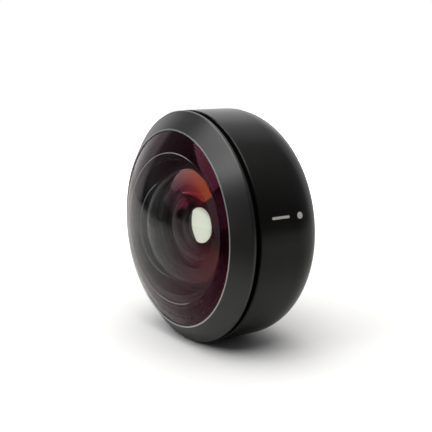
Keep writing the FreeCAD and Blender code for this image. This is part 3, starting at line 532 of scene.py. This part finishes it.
pairFront = turnPiece("pairFrontGlass", [
    (bowlRun, 0), ([bowlRun[-1], (pair["edge"], bowlRun[-1][1]), joinFront[-1]], 2), (joinFront[::-1], 1),
], [pairFinish, cementFinish, groundFinish], pair["around"])
pairRear = turnPiece("pairRearGlass", [
    (joinRear, 1), ([joinRear[-1], (pair["edge"], tailRun[-1][1]), tailRun[-1]], 2), (tailRun[::-1], 0),
], [pairFinish, cementFinish, groundFinish], pair["around"])
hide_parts("doublet_front_element")
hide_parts("doublet_rear_element")

last = {"front": 22.0, "rear": 120.0, "clear": 5.8, "edge": 6.4, "bevel": 0.08, "frontSteps": 20,
        "rearSteps": 12, "around": 160}
lastLook = {"body": (1.0, 0.965, 0.855), "index": 1.8, "coat": (0.12, 0.09, 0.16), "dust": 0.02}
lastFinish = glassFinish("lastGlass", lastLook)
low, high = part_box("rear_element")
lastFace = sphereRun(last["front"], low.y / mm, last["clear"], 1, last["frontSteps"])
lastBack = sphereRun(last["rear"], high.y / mm, last["clear"], -1, last["rearSteps"])
edgeFront = lastFace[-1][1]
edgeBack = lastBack[-1][1]
lastPiece = turnPiece("lastGlass", [
    (lastFace, 0),
    ([lastFace[-1], (last["edge"] - last["bevel"], edgeFront), (last["edge"], edgeFront + last["bevel"]),
      (last["edge"], edgeBack - last["bevel"]), (last["edge"] - last["bevel"], edgeBack), lastBack[-1]], 1),
    (lastBack[::-1], 0),
], [lastFinish, groundFinish], last["around"])
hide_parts("rear_element")
print("inner glass ground")


barrelLook = {
    "dark": (0.0040, 0.0036, 0.0033), "light": (0.0060, 0.0054, 0.0050), "worn": (0.13, 0.127, 0.122),
    "smooth": 0.21, "rough": 0.28, "grain": 0.10, "drift": 9.0, "pitch": 0.08, "marks": 0.3,
    "depth": 0.003, "wear": 0.25, "wearWidth": 0.09, "dust": 0.035, "dustCell": 2.0, "shine": 0.30,
}
indexMark = {"angle": 12.0, "radius": 20, "barFrom": -11.6, "barTo": -8.6, "bar": 0.22, "dotAt": -6.3,
             "dot": 0.55, "soft": 0.02, "ink": (0.60, 0.59, 0.56)}
barrelFinish, tree, shader, paint = metalFinish("barrelAnodised", barrelLook)
axes = axesOf(tree)
turned = calc(tree, "SUBTRACT", calc(tree, "ARCTAN2", axes["Z"], axes["X"]), math.radians(indexMark["angle"]))
across = calc(tree, "MULTIPLY", turned, indexMark["radius"])  # mm round the barrel from the mark
ahead = calc(tree, "MULTIPLY", axes["Y"], perMetre)


def inkSpot(first, last, size):  # a bar with round ends, or a dot where first and last are the same
    offset = calc(tree, "ABSOLUTE", calc(tree, "SUBTRACT", ahead, (first + last) / 2))
    beyond = calc(tree, "MAXIMUM", calc(tree, "SUBTRACT", offset, (last - first) / 2), 0)
    return spread(tree, hypot(tree, beyond, across), size + indexMark["soft"], size - indexMark["soft"])


ink = calc(tree, "MAXIMUM", inkSpot(indexMark["barFrom"], indexMark["barTo"], indexMark["bar"]),
           inkSpot(indexMark["dotAt"], indexMark["dotAt"], indexMark["dot"]))
wire(tree, (tint(tree, ink, paint, indexMark["ink"]), shader.inputs["Base Color"]))
dress("barrel_shell", barrelFinish)
print("barrel dressed")


cellLook = {"dark": (0.006, 0.006, 0.006), "light": (0.009, 0.009, 0.009), "worn": (0.06, 0.06, 0.06),
            "smooth": 0.5, "rough": 0.6, "grain": 0.05, "pitch": 0.12, "marks": 0.6, "depth": 0.0015,
            "wear": 0.15, "wearWidth": 0.04, "shine": 0.3, "dust": 0.02}
stopLook = {"dark": (0.004, 0.004, 0.004), "light": (0.007, 0.007, 0.007), "smooth": 0.55, "rough": 0.7,
            "grain": 0.05, "shine": 0.25, "depth": 0.002, "dust": 0.0}
rubberLook = {"dark": (0.010, 0.010, 0.010), "light": (0.018, 0.018, 0.018), "smooth": 0.6, "rough": 0.8,
              "grain": 0.16, "shine": 0.35, "depth": 0.008, "marks": 0.0, "dust": 0.04}
cellFinish = metalFinish("cellBlackened", cellLook)[0]
rubberFinish = metalFinish("sealRubber", rubberLook)[0]
for name in ("dome_spacer_ring", "inner_lens_cell", "second_element_retainer", "doublet_spacer_ring",
             "rear_retainer"):
    dress(name, cellFinish)
for name in ("front_seal_ring", "dust_seal_ring"):
    dress(name, rubberFinish)
dress("aperture_stop_ring", metalFinish("stopBlackened", stopLook)[0])
print("cell, rings and seals dressed")


mountLook = {"dark": (0.022, 0.022, 0.023), "light": (0.032, 0.032, 0.034), "worn": (0.34, 0.335, 0.32),
             "smooth": 0.26, "rough": 0.38, "grain": 0.06, "pitch": 0.09, "marks": 1.2, "depth": 0.003,
             "wear": 0.9, "wearWidth": 0.16, "dust": 0.03}
screwLook = {"dark": (0.045, 0.045, 0.05), "light": (0.075, 0.075, 0.08), "worn": (0.4, 0.4, 0.4),
             "metal": 1.0, "smooth": 0.3, "rough": 0.42, "grain": 0.05, "wear": 0.6, "wearWidth": 0.06,
             "depth": 0.002, "marks": 0.2, "dust": 0.0}
dress("bayonet_mount", metalFinish("mountAnodised", mountLook)[0])
dress("mount_screws", metalFinish("screwSteel", screwLook)[0])
print("mount and screws dressed")


# the floor's near and far colours are painted light on the sheet, and its dim colour, to one side and ahead,
# is painted shade
floor = {
    "half": 0.5, "pale": (0.45, 0.45, 0.44), "paintedShade": (0.10, 0.095, 0.09), "seen": (0.96, 0.96, 0.96),
    "paintedLightNear": 1.3, "paintedLightNearReach": (0.028, 0.045), "far": 1.25, "farReach": (0.06, 0.11),
    "paintedShadeSideTowards": (45, 0), "paintedShadeSideReach": (0.035, 0.08), "paintedShadeAheadTowards": (-8, 0), "paintedShadeAheadReach": (0.11, 0.24),
    "whiteReach": (0.05, 0.17), "daylight": 0.79, "daylightTowards": (180, 0),
    "daylightReach": (0.03, 0.05), "rough": 0.9, "shine": 0.1,
}
mesh = bpy.data.meshes.new("floor")
half = floor["half"]
bottom = cadBox[0][2]
corners = ((-half, -half), (half, -half), (half, half), (-half, half))
mesh.from_pydata([(x, y, bottom) for x, y in corners], [], [(0, 1, 2, 3)])
floorPiece = bpy.data.objects.new("floor", mesh)
bpy.context.scene.collection.objects.link(floorPiece)

material, tree, shader = newFinish("floorPale")
spot = objectPoint(tree)
reach = node(tree, "ShaderNodeVectorMath", operation="LENGTH")
wire(tree, (spot, reach.inputs[0]))
away = reach.outputs["Value"]
beside = distanceAlong(tree, spot, floor["paintedShadeSideTowards"])
ahead = distanceAlong(tree, spot, floor["paintedShadeAheadTowards"])
behind = distanceAlong(tree, spot, floor["daylightTowards"])
# painted light and shade on the sheet: it is painted brighter close to the lens and again farther out, and
# painted dark, as painted shade, ahead and to one side
paper = tint(tree, spread(tree, away, *floor["paintedLightNearReach"]),
             tuple(part * floor["paintedLightNear"] for part in floor["pale"]), floor["pale"])
paper = tint(tree, spread(tree, away, *floor["farReach"]), paper,
             tuple(part * floor["far"] for part in floor["pale"]))
paper = tint(tree, spread(tree, beside, *floor["paintedShadeSideReach"]), paper, floor["paintedShade"])
paper = tint(tree, spread(tree, ahead, *floor["paintedShadeAheadReach"]), paper, floor["paintedShade"])
# seen directly it is white far from the lens, and through the glass it is daylight behind the lens
path = node(tree, "ShaderNodeLightPath")
daylight = calc(tree, "MULTIPLY", path.outputs["Is Transmission Ray"],
                spread(tree, behind, *floor["daylightReach"]))
paper = tint(tree, path.outputs["Is Camera Ray"], paper, floor["seen"])
glow = calc(tree, "MULTIPLY", path.outputs["Is Camera Ray"], spread(tree, away, *floor["whiteReach"]))
wire(tree, (tint(tree, daylight, paper, (0, 0, 0)), shader.inputs["Base Color"]),
     (calc(tree, "MULTIPLY_ADD", daylight, floor["daylight"], glow), shader.inputs["Emission Strength"]))
shader.inputs["Emission Color"].default_value = (1, 1, 1, 1)
shader.inputs["Roughness"].default_value = floor["rough"]
shader.inputs["Specular IOR Level"].default_value = floor["shine"]
mesh.materials.append(material)

studio = {
    "room": 0.045, "wall": 0.42, "wallAt": (-130, 8), "wallReach": (0.49, 0.60),
    "window": 0.5, "windowAt": (-118, 18), "windowReach": (0.80, 0.95),
    "card": 0.12, "cardAt": (-50, 22), "cardReach": (0.86, 0.95),
    "behind": 0.2, "behindAt": (178, 35), "behindReach": (0.55, 0.90),
    "front": 0.45, "frontAt": (2, 4), "frontReach": (0.955, 0.985),
    "daylightAt": (180, 0), "daylightReach": (0.35, 0.55),
}
world = bpy.data.worlds.new("studio")
bpy.context.scene.world = world
world.use_nodes = True
tree = world.node_tree
tree.nodes.clear()
direction = node(tree, "ShaderNodeTexCoord").outputs["Generated"]


def facing(part):  # 1 towards that part of the room, fading to 0
    return spread(tree, distanceAlong(tree, direction, studio[part + "At"]), *studio[part + "Reach"])


level = studio["room"]
for part in ("wall", "window", "card", "behind", "front"):
    level = calc(tree, "MULTIPLY_ADD", facing(part), studio[part], level)
path = node(tree, "ShaderNodeLightPath")
through = calc(tree, "MULTIPLY", path.outputs["Is Transmission Ray"], facing("daylight"))
seenWhite = calc(tree, "MAXIMUM", path.outputs["Is Camera Ray"], through)
sky = node(tree, "ShaderNodeBackground")
white = node(tree, "ShaderNodeBackground")
blend = node(tree, "ShaderNodeMixShader")
whiteLevel = calc(tree, "MULTIPLY_ADD", through, floor["daylight"], path.outputs["Is Camera Ray"])
wire(tree, (level, sky.inputs["Strength"]), (whiteLevel, white.inputs["Strength"]),
     (seenWhite, blend.inputs[0]), (sky.outputs[0], blend.inputs[1]), (white.outputs[0], blend.inputs[2]),
     (blend.outputs[0], node(tree, "ShaderNodeOutputWorld").inputs["Surface"]))
sky.inputs["Color"].default_value = (1, 1, 1, 1)
white.inputs["Color"].default_value = (1, 1, 1, 1)


def softBox(name, turn, rise, away, size, radiance, roll=0.0, shift=(0.0, 0.0), colour=(1, 1, 1)):
    lamp = bpy.data.lights.new(name, "AREA")
    lamp.shape = "RECTANGLE"
    lamp.size, lamp.size_y = size
    lamp.energy = radiance * math.pi * size[0] * size[1]
    lamp.color = colour
    made = bpy.data.objects.new(name, lamp)
    facingIn = pointing(turn, rise).to_track_quat("Z", "Y")
    made.location = facingIn @ Vector((*shift, away))
    made.rotation_euler = (facingIn @ Quaternion((0, 0, 1), math.radians(roll))).to_euler()
    bpy.context.scene.collection.objects.link(made)


lamps = {
    "overheadLight": {"turn": 0, "rise": 79, "away": 0.9, "size": (1.20, 0.92), "radiance": 2.85,
                      "shift": (0.10, 0.10), "colour": (1.0, 0.99, 0.97)},
    "frontPanel": {"turn": 0, "rise": 79, "away": 0.9, "size": (1.00, 0.24), "radiance": 0.6,
                   "shift": (0.20, -0.48)},
    "windowLight": {"turn": 9, "rise": 39, "away": 0.9, "size": (0.26, 0.24), "radiance": 3.6},
    "tubeLight": {"turn": 0, "rise": 79, "away": 0.88, "size": (0.62, 0.016), "radiance": 7.0,
                  "shift": (0.0, -0.365)},
    "spotLight": {"turn": 1, "rise": 55.5, "away": 0.84, "size": (0.05, 0.05), "radiance": 26.0},
    "curtainLight": {"turn": -16.5, "rise": 36.5, "away": 0.9, "size": (0.66, 0.34), "radiance": 1.3,
                     "roll": -32.6},
}
for name, lamp in lamps.items():
    softBox(name, **lamp)

view = {"at": (0.12559, -0.09317, 0.02959), "turn": 56.25, "rise": 10.61, "lens": 72.856, "sensor": 36,
        "nearest": 0.01, "farthest": 20}
camera = bpy.data.objects.new("camera", bpy.data.cameras.new("camera"))
camera.location = view["at"]
camera.rotation_euler = pointing(view["turn"], view["rise"]).to_track_quat("Z", "Y").to_euler()
camera.data.lens = view["lens"]
camera.data.sensor_width = view["sensor"]
camera.data.clip_start = view["nearest"]
camera.data.clip_end = view["farthest"]
bpy.context.scene.collection.objects.link(camera)
bpy.context.scene.camera = camera
bpy.context.scene.view_settings.view_transform = "Standard"
print("floor, light and camera set")
